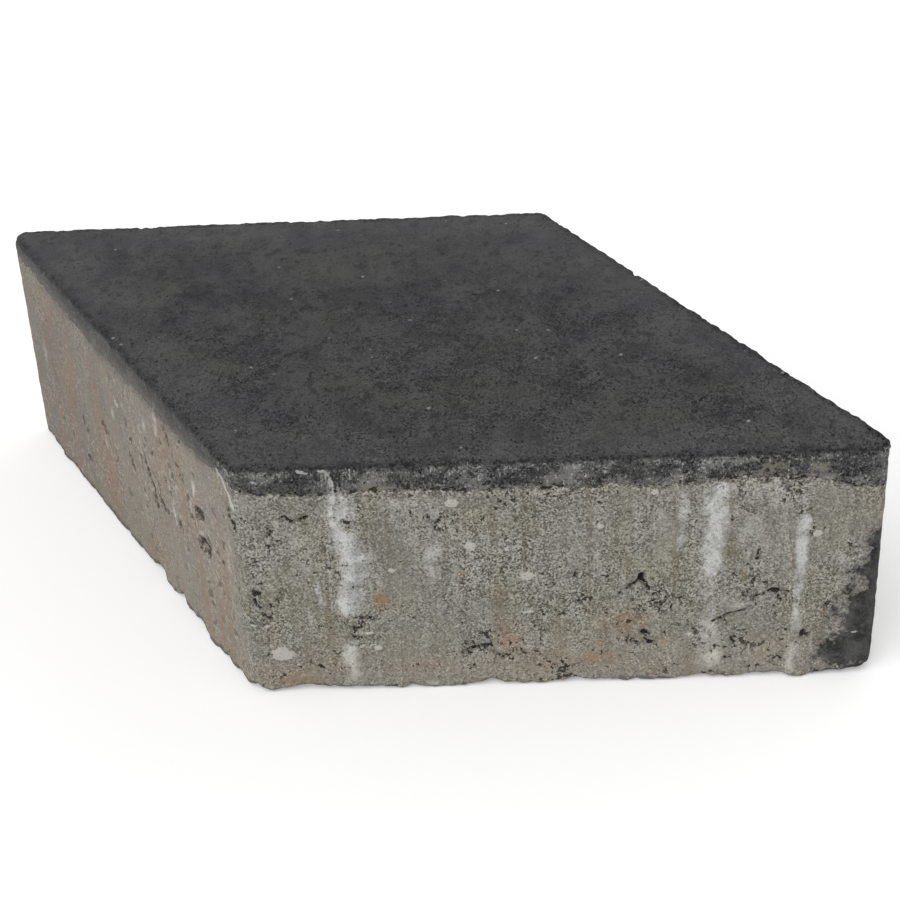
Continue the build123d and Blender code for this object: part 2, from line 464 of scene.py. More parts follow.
class Outline:
    """Rounded rhombus as columns: each side runs at an even step from mid-arc to mid-arc, and a point of
    the outline is its core, which stays at the arc's centre round a corner, plus the radius times the
    normal."""

    def __init__(self):
        corners = plan_corners()
        along = (np.roll(corners, -1, 0) - corners) / SIDE
        outward = np.stack([along[:, 1], -along[:, 0]], 1)
        turn = np.array([ACUTE, pi - ACUTE, ACUTE, pi - ACUTE])
        tangent = CORNER_RADIUS * np.tan(turn / 2)
        straight = (SIDE - tangent - np.roll(tangent, -1))[:, None]
        first_arc = (CORNER_RADIUS * turn / 2)[:, None]
        last_arc = np.roll(first_arc, -1, 0)
        distance = np.arange(COLUMNS) / COLUMNS * (first_arc + straight + last_arc)
        past = distance - first_arc
        angle = (np.minimum(past, 0) + np.maximum(past - straight, 0)) / CORNER_RADIUS
        travel = np.clip(past, 0, straight)
        centre = corners + along * tangent[:, None] - outward * CORNER_RADIUS
        core = centre[:, None] + along[:, None] * travel[..., None]
        normal = outward[:, None] * np.cos(angle)[..., None] + along[:, None] * np.sin(angle)[..., None]
        on_line = core + normal * CORNER_RADIUS
        self.corners, self.outward = corners, outward
        self.core, self.normal = core.reshape(-1, 2), normal.reshape(-1, 2)
        self.side = np.repeat(np.arange(4), COLUMNS)
        self.along = ((on_line - corners[:, None]) * along[:, None]).sum(-1).ravel()

    def rows(self, insets, heights, tilts):
        """Skin of rows over the columns: each row lies inset from the outline at its height, and faces out
        by the cosine of its tilt and up by the sine."""
        reach = CORNER_RADIUS - np.asarray(insets)[:, None, None]
        flat = self.core + reach * self.normal
        heights = np.broadcast_to(heights, flat.shape[:2])
        points = np.concatenate([flat, heights[..., None]], -1)
        tilts = np.asarray(tilts)[:, None, None]
        out = np.broadcast_to(self.normal, flat.shape) * np.cos(tilts)
        up = np.broadcast_to(np.sin(tilts), (*flat.shape[:2], 1))
        return points, np.concatenate([out, up], -1)

    def edge_distance(self, points):
        """How far points lie inside the nearest straight side."""
        inside = ((self.corners - points[..., None, :2]) * self.outward).sum(-1)
        return inside.min(-1)


OUTLINE = Outline()


def patch(ring):
    """Square patch spanned by a closed ring of four equal sides: the two ruled surfaces between opposite
    sides, added, less the flat one through the corners."""
    count = len(ring) // 4
    closed = np.concatenate([ring, ring[:1]])
    front, right = closed[: count + 1], closed[count : 2 * count + 1]
    back, left = closed[2 * count : 3 * count + 1][::-1], closed[3 * count :][::-1]
    u = np.linspace(0, 1, count + 1)[None, :, None]
    v = np.linspace(0, 1, count + 1)[:, None, None]
    ruled = (1 - v) * front[None] + v * back[None] + (1 - u) * left[:, None] + u * right[:, None]
    flat = (1 - v) * ((1 - u) * front[0] + u * front[-1]) + v * ((1 - u) * back[0] + u * back[-1])
    return ruled - flat


def patch_numbers(ring_numbers, first_new):
    """Vertex numbers of a patch: its border takes the ring's, and its inside takes new ones."""
    count = len(ring_numbers) // 4
    closed = np.append(ring_numbers, ring_numbers[0])
    numbers = np.empty((count + 1, count + 1), int)
    numbers[0] = closed[: count + 1]
    numbers[:, -1] = closed[count : 2 * count + 1]
    numbers[-1, ::-1] = closed[2 * count : 3 * count + 1]
    numbers[::-1, 0] = closed[3 * count :]
    numbers[1:-1, 1:-1] = first_new + np.arange((count - 1) ** 2).reshape(count - 1, count - 1)
    return numbers


def quads(numbers):
    """Corner numbers of the cells of a grid of vertex numbers, anticlockwise."""
    corners = numbers[:-1, :-1], numbers[:-1, 1:], numbers[1:, 1:], numbers[1:, :-1]
    return np.stack(corners, -1).reshape(-1, 4)


def box_places(box, across, up):
    """Places on the texture map, from shares across and up a box."""
    left, foot, width, height = box
    return np.stack(np.broadcast_arrays(left + width * across, foot + height * up), -1)


def square_ring(count):
    """Shares across and up a square of points that go round its border, so many to a side."""
    run, still = np.arange(count) / count, np.zeros(count)
    across = np.concatenate([run, still + 1, 1 - run, still])
    up = np.concatenate([still, run, still + 1, 1 - run])
    return across, up


def stitches(fine, coarse):
    """Triangles between a ring and one inside it with a quarter as many vertices: five to a coarse step."""
    first = fine.reshape(-1, COARSE)
    last = np.roll(first[:, 0], -1)
    here, there = coarse, np.roll(coarse, -1)
    a, b, c, d = first.T
    fans = [(here, a, b), (here, b, c), (here, c, there), (there, c, d), (there, d, last)]
    return np.concatenate([np.stack(fan, -1) for fan in fans])


class Skin:
    """Vertices and faces of one piece, gathered part by part, with each face's place on the texture map."""

    def __init__(self, side_boxes, shown_box, hidden_box):
        self.side_boxes, self.shown_box, self.hidden_box = side_boxes, shown_box, hidden_box
        self.points, self.masks, self.faces, self.places = [], [], {3: [], 4: []}, {3: [], 4: []}
        self.count = 0

    def add(self, points, masks):
        """Takes points and their masks, and returns the points' vertex numbers in the same layout."""
        flat = points.reshape(-1, 3)
        self.points.append(flat)
        shape = points.shape[:-1]
        self.masks.append({name: np.broadcast_to(mask, shape).ravel() for name, mask in masks.items()})
        numbers = self.count + np.arange(len(flat)).reshape(shape)
        self.count += len(flat)
        return numbers

    def face(self, corners, numbers, places, upward=True):
        """Faces given by their corners' places in a list of vertex numbers and of places on the map."""
        corners = corners if upward else corners[:, ::-1]
        self.faces[corners.shape[1]].append(numbers.ravel()[corners])
        self.places[corners.shape[1]].append(places.reshape(-1, 2)[corners])

    def band(self, numbers, up):
        """Faces of rows of vertices that close round the stone, with the rows' shares up the map."""
        closed = np.concatenate([numbers, numbers[:, :1]], 1)
        for side, box in enumerate(self.side_boxes):
            strip = closed[:, side * COLUMNS : (side + 1) * COLUMNS + 1]
            places = box_places(box, np.linspace(0, 1, COLUMNS + 1), np.asarray(up)[:, None])
            self.face(quads(np.arange(strip.size).reshape(strip.shape)), strip, places)

    def plate(self, numbers, box, upward=True):
        """Faces of a square patch of vertices, laid out square on the map."""
        share = np.linspace(0, 1, len(numbers))
        corners = quads(np.arange(numbers.size).reshape(numbers.shape))
        self.face(corners, numbers, box_places(box, share, share[:, None]), upward)

    def cap(self, ring_points, ring_numbers, level, upward, box, masks, relief=None):
        """Coarse floor or ceiling inside a ring: a ring of every fourth column drawn in by the inset, the
        patch that it spans, and the stitches to the fine ring."""
        columns = slice(None, None, COARSE)
        flat = ring_points[columns, :2] - OUTLINE.normal[columns] * CAP_INSET
        height = ring_points[columns, 2:]
        height = height + np.clip(level - height, -CAP_INSET, CAP_INSET)
        grid = patch(np.concatenate([flat, height], -1))
        if relief:
            grid[..., 2] += relief(grid)
        border = np.concatenate([grid[0, :-1], grid[:-1, -1], grid[-1, :0:-1], grid[:0:-1, 0]])
        coarse = self.add(border, masks)
        numbers = patch_numbers(coarse, self.count)
        self.add(grid[1:-1, 1:-1], masks)
        left, foot, width, height = box
        rest = 1 - 2 * MAP_RIM
        inner = (left + MAP_RIM * width, foot + MAP_RIM * height, rest * width, rest * height)
        self.plate(numbers, inner, upward)
        outer_places = box_places(box, *square_ring(COLUMNS))
        inner_places = box_places(inner, *square_ring(COLUMNS // COARSE))
        places = np.concatenate([outer_places, inner_places])
        rings = np.split(np.arange(len(ring_numbers) + len(coarse)), [len(ring_numbers)])
        self.face(stitches(*rings), np.append(ring_numbers, coarse), places, not upward)

    def build(self, name, material):
        """Mesh object, shaded smooth, with its texture map and each mask as a value on the vertices."""
        mesh = bpy.data.meshes.new(name)
        points = np.concatenate(self.points) * MM
        corners = np.concatenate([part.ravel() for size in (4, 3) for part in self.faces[size]])
        places = np.concatenate([part.ravel() for size in (4, 3) for part in self.places[size]])
        sizes = np.repeat([4, 3], [sum(map(len, self.faces[4])), sum(map(len, self.faces[3]))])
        mesh.vertices.add(len(points))
        mesh.vertices.foreach_set("co", points.ravel())
        mesh.loops.add(len(corners))
        mesh.loops.foreach_set("vertex_index", corners)
        mesh.polygons.add(len(sizes))
        mesh.polygons.foreach_set("loop_start", np.cumsum(sizes) - sizes)
        mesh.polygons.foreach_set("use_smooth", np.ones(len(sizes), bool))
        texture_map = mesh.uv_layers.new(name="OFBake", do_init=False)
        texture_map.uv.foreach_set("vector", places.astype(np.float32))
        for mask in self.masks[0]:
            parts = [given.get(mask, np.zeros(len(part))) for given, part in zip(self.masks, self.points)]
            layer = mesh.attributes.new(mask, "FLOAT", "POINT")
            layer.data.foreach_set("value", np.concatenate(parts).astype(np.float32))
        mesh.update(calc_edges=True)
        mesh.validate()
        mesh.materials.append(material)
        piece = bpy.data.objects.new(name, mesh)
        bpy.context.scene.collection.objects.link(piece)
        return piece


def round_the_stone(lists):
    """Value in every column, read from the lists of (along, value) of the four sides."""
    along = OUTLINE.along.reshape(4, -1)
    return np.concatenate([np.interp(along[side], *np.array(lists[side], float).T) for side in range(4)])


RING = OUTLINE.rows([0], 0.0, [0])[0][0]
BORDER = HEIGHT - round_the_stone(LAYER_THICKNESS)
BORDER = BORDER - 0.4 * rough_noise(RING, 4, seed=13, octaves=2)
BORDER = BORDER - 0.35 * rough_noise(RING, 1.7, seed=15, octaves=2)
BLUR = round_the_stone(BORDER_BLUR)
BED_EDGE = np.clip(round_the_stone(BED_EDGE_RISE) + 0.4 * rough_noise(RING, 2.6, seed=14), 0, 4)


def path_distance(along, height, path):
    """Distance from each place on a side to a path of straight runs, or to a single place."""
    here = np.stack([along, height], -1)
    best = np.linalg.norm(here - np.array(path[0]), axis=-1)
    for start, end in zip(path, path[1:]):
        run = np.subtract(end, start)
        share = np.clip((here - start) @ run / (run @ run), 0, 1)
        best = np.minimum(best, np.linalg.norm(here - start - share[..., None] * run, axis=-1))
    return best


def inward(distance):
    """Share of the way into a mark at a distance inside its edge: 0.5 at the edge."""
    return np.clip(0.5 + distance / MASK_SLOPE, 0, 1)


class SideField:
    """Marks on the sides of the stone at the vertices of rows over the outline's columns."""

    def __init__(self, points, heights):
        self.points, self.height = points, heights
        self.side = np.broadcast_to(OUTLINE.side, heights.shape)
        self.along = np.broadcast_to(OUTLINE.along, heights.shape)
        self.unsteady = 0.5 * rough_noise(points, 2.2, seed=20, octaves=2)

    def strongest(self, marks, shape):
        """Largest of the values that a shape gives for each of a list of marks, on the mark's own side."""
        total = np.zeros(self.height.shape)
        for side, *mark in marks:
            total = np.maximum(total, shape(*mark) * (self.side == side))
        return total

    def patches(self, places):
        """Strongest of a list of soft oval patches."""

        def oval(along, height, half_length, half_height, strength):
            off = ((self.along - along) / half_length) ** 2 + ((self.height - height) / half_height) ** 2
            return strength * np.exp(-off)

        return self.strongest(places, oval)

    def lime(self):
        """Strongest of the lime patches, and of the streaks with their feathered edges and ends."""
        sway = 0.35 * value_noise(self.points, (9, 9, 7), seed=21) + 0.35 * self.unsteady
        swell = 1 + 0.35 * value_noise(self.points, (30, 30, 9), seed=23)

        def streak(top_along, foot_along, top, foot, half_width, strength):
            share = np.clip((top - self.height) / (top - foot), 0, 1)
            off = (self.along - top_along - share * (foot_along - top_along)) / (half_width * swell) + sway
            ends = ramp(self.height, foot - 5, foot + 3) * (1 - ramp(self.height, top - 2, top + 2))
            return strength * np.exp(-off**2) * ends

        return np.maximum(self.patches(LIME_PATCHES), self.strongest(LIME_STREAKS, streak))

    def hollows(self):
        """Share of the way into the listed holes and cracks, 0.5 at their edge, and how deep they are."""
        wobble = np.where(self.side == LEFT, 1.5, 0.5) * self.unsteady
        along, height = self.along + wobble, self.height + 0.8 * wobble

        def share(path, half_width, _):
            return inward(half_width - path_distance(along, height, path))

        def depth(path, half_width, deepest):
            return deepest * ramp(path_distance(along, height, path), half_width + 0.7, 0.0)

        return self.strongest(HOLLOWS, share), self.strongest(HOLLOWS, depth)

    def openness(self):
        """How open the mix is: slow noise, more of it low down and less on the left side."""
        low_zone = np.exp(-(((self.height - 17) / 14) ** 2))
        slow = rough_noise(self.points, 15, seed=35, octaves=2)
        openness = np.clip(0.42 + 0.34 * slow + 0.22 * low_zone, 0, 1)
        openness = np.where(self.side == LEFT, 0.5, 0.85) * openness
        return np.clip(openness + self.patches(OPEN_ZONES), 0, 1)

    def smoothness(self):
        """How fine and closed the mix is: the listed zones, with slow noise between them."""
        slow = rough_noise(self.points, 20, seed=53, octaves=2)
        return np.clip(self.patches(SMOOTH_ZONES) + 0.4 * slow, 0, 1)

    def scratches(self):
        """Share of the way into the listed pale lines, 0.5 at their edge."""
        along = self.along + 0.2 * self.unsteady

        def share(path, half_width):
            return inward(half_width - path_distance(along, self.height, path))

        return self.strongest(SCRATCHES, share)

    def warmth(self):
        """Share of the warm tone: most of the left side, and the foot of the others."""
        wave = rough_noise(self.points, (24, 24, 40), seed=39, octaves=2)
        low_zone = np.exp(-((self.height / 17) ** 2)) * np.clip(0.5 + 0.8 * wave, 0, 1)
        left = np.clip(0.8 + 0.25 * wave - 0.18 * ramp(self.height, 42, 66), 0, 1)
        return np.where(self.side == LEFT, left * ramp(SIDE - self.along, 0.5, 6), 0.55 * low_zone)

    def pits(self, openness):
        """Share of the way into small pits strewn where the mix is open, and how deep they are."""
        wander = np.stack([value_noise(self.points, 2.4, seed) for seed in (31, 32, 33)], -1)
        near, chance = strewn_points(self.points + 0.9 * wander, PIT_SPACING, seed=34)
        radius = 1.15 * np.clip(openness - 0.3 - chance, 0, 1) ** 0.6
        kept = radius > SMALLEST_PIT
        return inward(radius - near) * kept, (0.4 + radius) * ramp(radius - near, -0.6, 0.3) * kept

    def pebbles(self):
        """Share of the way into the listed pebbles, 0.5 at their edge."""

        def share(along, height, half_length, half_height):
            off = np.hypot((self.along - along) / half_length, (self.height - height) / half_height)
            return np.clip(1 - off / 2 + 0.12 * self.unsteady, 0, 1)

        return self.strongest(PEBBLES, share)

    def stain(self):
        """Share of the way into the dark corner, 0.5 at its edge, on the two sides that meet there."""
        past_front = self.along - np.interp(self.height, STAIN_HEIGHTS, STAIN_FROM)
        past_right = np.interp(self.height, STAIN_HEIGHTS, STAIN_TO) - self.along
        past = np.where(self.side == FRONT, past_front, np.where(self.side == RIGHT, past_right, -FAR))
        return np.clip(0.5 + past / STAIN_SLOPE, 0, 1)

    def ribs(self):
        """Height of the spacer ribs: flat-topped ridges that fade out at their upper end, worn unevenly."""

        def ridge(along):
            off = np.abs(self.along - along) / RIB_HALF_WIDTH
            return np.sqrt(np.clip(1 - off**2, 0, 1)) * (1 - ramp(self.height, RIB_TOP - 5, RIB_TOP + 1))

        worn = np.clip(0.75 + 0.5 * rough_noise(self.points, (6, 6, 12), seed=22, octaves=2), 0.2, 1)
        return RIB_DEPTH * self.strongest(RIBS, ridge) * worn


def bed_relief(points):
    """Rough bed: slow noise, folded up so that the bed stays above the floor."""
    return 0.3 * np.abs(rough_noise(points, 9, seed=51, octaves=2))


def base_skin():
    """Sides from the bed up to the border, the edge rounded into the bed, a rough bed and a hidden top."""
    skin = Skin(*BASE_MAP)
    tilt = np.linspace(-pi / 2, 0, EDGE_ROWS + 1)
    insets = BED_EDGE_RADIUS * (1 - np.cos(tilt))
    edge = BED_EDGE + BED_EDGE_RADIUS * (1 + np.sin(tilt))[:, None]
    share = np.linspace(0, 1, BASE_ROWS + 1)[1:, None]
    heights = np.concatenate([edge, edge[-1] + share * (BORDER - edge[-1])])
    points, _ = OUTLINE.rows(np.pad(insets, (0, BASE_ROWS)), heights, np.pad(tilt, (0, BASE_ROWS)))
    field = SideField(points, heights)
    openness = field.openness()
    hollow, hollow_depth = field.hollows()
    pit, pit_depth = field.pits(openness)
    pebble = field.pebbles()
    rough = np.where(field.side == LEFT, 0.8, 1.0)
    relief = 0.1 * value_noise(points, 24, seed=36)
    relief = relief + rough * 0.07 * value_noise(points, (1.6, 1.6, 26), seed=37)
    relief = relief + rough * 0.13 * rough_noise(points, 2.4, seed=38) * (1 - ramp(pebble, 0.4, 0.6))
    relief = relief + 0.25 * ramp(pebble, 0.4, 0.6) + field.ribs() - np.maximum(hollow_depth, pit_depth)
    chipped = (BED_EDGE - 0.8) * (1 - ramp(heights - BED_EDGE, 0, 4))
    relief = relief - 0.5 * np.clip(chipped, -0.2, 2)
    points[..., :2] += OUTLINE.normal * relief[..., None]
    numbers = skin.add(points, {
        "hollow": np.maximum(hollow, pit), "lime": field.lime(), "open": openness, "pebble": pebble,
        "rust": field.patches(RUST_PATCHES), "scratch": field.scratches(), "smooth": field.smoothness(),
        "stain": field.stain(), "rim": np.clip((BORDER - heights) / BLUR, 0, FAR), "warm": field.warmth(),
        "foot": heights - BED_EDGE})
    skin.band(numbers, np.linspace(0, 1, len(heights)))
    plain = {"open": 0.6, "rim": FAR, "foot": HEIGHT}
    skin.cap(points[0], numbers[0], 0.0, False, skin.shown_box, plain, bed_relief)
    skin.cap(points[-1], numbers[-1], LAYER_LEVEL, True, skin.hidden_box, plain)
    return skin


def top_relief(points):
    """Walking face: slow unevenness, sand, small pores, and a shallow dip just inside the arris."""
    edge = OUTLINE.edge_distance(points)
    near, chance = strewn_points(points, PORE_SPACING, seed=41)
    pore = ramp(0.9 * chance**3 - near, -0.2, 0.4)
    relief = 0.1 * rough_noise(points, 26, seed=42, octaves=2) + 0.14 * rough_noise(points, 2.0, seed=43)
    relief = relief - 0.35 * pore
    dip = np.exp(-(((edge - 2.2) / 0.9) ** 2)) * (0.5 + 0.7 * rough_noise(points, 6, seed=44, octaves=2))
    return relief * ramp(edge, 0.2, 1.2) - 0.4 * np.clip(dip, 0, 1)


def face_skin():
    """Dark band from the border up, the arris rounded into the walking face, and a hidden floor."""
    skin = Skin(*FACE_MAP)
    tilt = np.linspace(0, pi / 2, EDGE_ROWS + 1)[1:]
    insets = np.pad(ARRIS_RADIUS * (1 - np.cos(tilt)), (FACE_ROWS + 1, 0))
    top = HEIGHT - ARRIS_RADIUS
    share = np.linspace(0, 1, FACE_ROWS + 1)[:, None]
    arris = top + ARRIS_RADIUS * np.sin(tilt)[:, None]
    heights = np.concatenate([BORDER + share * (top - BORDER), np.repeat(arris, len(BORDER), 1)])
    points, facing = OUTLINE.rows(insets, heights, np.pad(tilt, (FACE_ROWS + 1, 0)))
    field = SideField(points, heights)
    pit, pit_depth = field.pits(np.clip(field.openness() + 0.1, 0, 1))
    fade = 1 - ramp(heights, top - 1, top)
    relief = 0.1 * value_noise(points, 24, seed=36) + 0.15 * rough_noise(points, 2.4, seed=38)
    relief = relief - pit_depth * fade
    chips = ramp(rough_noise(points, 4.5, seed=45), 0.35, 1.0)
    burr_side, burr_along, burr_half_length, burr_height = BURR
    burr = np.exp(-(((field.along - burr_along) / burr_half_length) ** 2)) * (field.side == burr_side)
    worn = 0.25 * rough_noise(points, 2.4, seed=46, octaves=2) - 0.7 * chips + burr_height * burr
    relief = relief + worn * (1 - fade)
    band = points + facing * relief[..., None]
    numbers = skin.add(band, {
        "hollow": pit * fade, "lime": field.lime(), "scratch": field.scratches(),
        "smear": field.patches(SMEARS), "dull": field.patches(DULL_ZONES),
        "rim": np.clip((heights - BORDER) / BLUR, 0, FAR), "edge": heights - HEIGHT,
        "soft": np.where(field.side == LEFT, ramp(SIDE - field.along, 4, 16), 0)})
    skin.band(numbers, np.linspace(0, 1, len(heights)))
    grid = patch(points[-1])
    edge = OUTLINE.edge_distance(grid)
    inner = ramp(edge, ARRIS_RADIUS, ARRIS_RADIUS + 1.5)
    rim_lift = patch(band[-1])[..., 2] - HEIGHT
    grid[..., 2] += top_relief(grid) * inner + rim_lift * (1 - inner)
    plate = patch_numbers(numbers[-1], skin.count)
    inside = grid[1:-1, 1:-1]
    skin.add(inside, {"rim": FAR, "edge": OUTLINE.edge_distance(inside)})
    skin.plate(plate, skin.shown_box)
    skin.cap(band[0], numbers[0], LAYER_LEVEL, False, skin.hidden_box, {"rim": FAR, "edge": FAR})
    return skin


class Shade:
    """A socket in a material's tree. Sums and products of values add Math nodes to the tree."""

    def __init__(self, tree, socket=None):
        self.tree, self.socket = tree, socket

    def node(self, kind, settings=None, sockets=None, output=0):
        """Any node: its type, its settings, and the values or links of its sockets by name or number."""
        made = self.tree.nodes.new(kind)
        for name, value in (settings or {}).items():
            setattr(made, name, value)
        for key, value in (sockets or {}).items():
            if isinstance(value, Shade):
                self.tree.links.new(value.socket, made.inputs[key])
            else:
                made.inputs[key].default_value = value
        return Shade(self.tree, made.outputs[output] if made.outputs else None)

    def math(self, operation, *values):
        """Math node on values or links."""
        return self.node("ShaderNodeMath", {"operation": operation}, dict(enumerate(values)))

    def __add__(self, other):
        return self.math("ADD", self, other)

    def __sub__(self, other):
        return self.math("SUBTRACT", self, other)

    def __rsub__(self, other):
        return self.math("SUBTRACT", other, self)

    def __mul__(self, other):
        return self.math("MULTIPLY", self, other)

    __radd__, __rmul__ = __add__, __mul__

    def __abs__(self):
        return self.math("ABSOLUTE", self)

    def between(self, low, high):
        """0 at low and below, 1 at high and above, eased between."""
        return self.node("ShaderNodeMapRange", {"interpolation_type": "SMOOTHSTEP"},
                         {"Value": self, "From Min": low, "From Max": high})

    def stretched(self, shares):
        """These coordinates, each times its share."""
        return self.node("ShaderNodeVectorMath", {"operation": "MULTIPLY"}, {0: self, 1: shares})

    def noise(self, size, detail=2.0, roughness=0.5):
        """Noise of a size in millimetres at these coordinates; a size of three numbers stretches it."""
        sizes = size if isinstance(size, tuple) else (size,) * 3
        place = self.stretched(tuple(1 / (MM * each) for each in sizes))
        return self.node("ShaderNodeTexNoise", {}, {"Vector": place, "Scale": 1.0, "Detail": detail,
                                                     "Roughness": roughness})

    def grains(self, size, output):
        """Cells of a size in millimetres, each with its own colour, or the distance to its middle."""
        return self.node("ShaderNodeTexVoronoi", {}, {"Vector": self, "Scale": 1 / (MM * size)}, output)

    def flecks(self, size, numbers, middle):
        """Spots in cells of a size: in those whose number is past a range, within a range of the middle."""
        return self.grains(size, "Color").between(*numbers) * self.grains(size, "Distance").between(*middle)

    def back(self):
        """How far back these coordinates lie."""
        return self.node("ShaderNodeSeparateXYZ", {}, {0: self}, "Y")

    def mask(self, name):
        """A mask of the piece's own."""
        return self.node("ShaderNodeAttribute", {"attribute_name": name}, output="Fac")

    def torn(self, rag, low, high, faint):
        """This mask with a rag added to its edge, and nothing where the mask itself is faint."""
        return (self + rag).between(low, high) * self.between(0.1, faint)

    def colour(self, share, first, second):
        """Colour from the first to the second by the share."""
        return self.node("ShaderNodeMix", {"data_type": "RGBA"}, {0: share, 6: first, 7: second}, 2)

    def coat(self, share, tone):
        """This colour under a coat of another, laid on by the share."""
        return self.colour(share, self, tone)


def new_material(name):
    """Empty material, its tree as a Shade, and its coordinates."""
    material = bpy.data.materials.new(name)
    material.use_nodes = True
    tree = material.node_tree
    tree.nodes.clear()
    shade = Shade(tree)
    place = shade.node("ShaderNodeTexCoord", output="Object")
    return material, shade, place


def finish_material(shade, colour, roughness, height, bump_depth):
    """Matt shader of a colour, with the height as bump of a depth in millimetres."""
    bump = shade.node("ShaderNodeBump", {}, {
        "Height": height, "Distance": bump_depth * MM, "Strength": 1.0})
    surface = shade.node("ShaderNodeBsdfPrincipled", {}, {
        "Base Color": colour, "Roughness": roughness, "Normal": bump, "Specular IOR Level": SPECULAR})
    shade.node("ShaderNodeOutputMaterial", {}, {"Surface": surface})


def mixed_border(place, rim, ragged, lumps, reach, middle):
    """How far one concrete has run into the other: noise against the distance from their border."""
    frayed = (place.noise(0.8, 2.0, 0.7) - 0.5) * reach + (ragged - 0.5) * reach + (lumps - 0.5) * 4.0
    return (middle - rim + frayed).between(-0.2, 0.6) * rim.between(4.0, 2.5)


def border_void_shade(place, rim, level):
    """Share of painted shade in gaps along the border: where noise past a level outdoes the distance from
    it.
    """
    return (place.noise((1.9, 1.9, 1.5), 3.0) * 14.0 - level - rim).between(0.0, 0.5)


# Colours of the two concretes, as they look on a screen
BASE_TONES = tones(
    dark_sand=(69, 66, 57), pale_sand=(182, 180, 170), olive=(128, 120, 100), drag_mark=(118, 105, 86),
    cool_grey=(131, 132, 128), warm_grey=(145, 129, 116), left_grey=(126, 126, 118),
    left_front=(160, 153, 143), left_back=(112, 109, 106), rust=(150, 115, 84),
    bright_rust=(206, 124, 60), foot=(160, 152, 140), thin_lime=(158, 158, 154),
    thick_lime=(208, 208, 206), foot_lime=(192, 184, 168), soot=(37, 37, 39), thin_soot=(82, 82, 82),
    soot_edge=(104, 103, 101), pebble=(190, 186, 178), bright_grain=(200, 196, 184),
    dark_grain=(66, 62, 53), crumb=(190, 187, 176), pit=(38, 35, 30), left_pit=(76, 70, 62),
    dent_lip=(174, 167, 156), dent=(94, 89, 81), flake=(184, 178, 168), grey_streak=(140, 136, 125),
    rusty_streak=(146, 122, 105), dark_smear=(78, 77, 75), left_border=(106, 103, 100),
    border_crumb=(194, 188, 174), pale_line=(198, 197, 191), chip=(180, 173, 162), hole=(40, 37, 33),
    left_hole=(90, 85, 78), worn_foot=(66, 64, 60),
)
FACE_TONES = tones(
    dark_sand=(27, 27, 28), pale_sand=(89, 89, 90), pale_cloud=(77, 77, 75), dark_cloud=(53, 53, 56),
    blue_tint=(69, 70, 75), brown_tint=(76, 74, 67), pale_mottle=(82, 82, 81), dark_mottle=(47, 47, 49),
    dent=(42, 42, 43), back=(90, 90, 92), margin=(110, 110, 111), pale_scuff=(130, 129, 128),
    dark_scuff=(50, 50, 51), left_band=(92, 91, 91), lime=(188, 187, 182), bright_grain=(188, 187, 184),
    scrape=(160, 159, 157), base_smear=(130, 126, 112), spark=(126, 126, 124), pit=(26, 26, 26),
    brink=(50, 50, 52), glint=(170, 169, 166), base_mix=(126, 122, 112), left_border=(112, 108, 104),
    void=(26, 25, 23), pale_line=(184, 183, 179), hollow=(32, 32, 32), speck=(150, 148, 142),
)


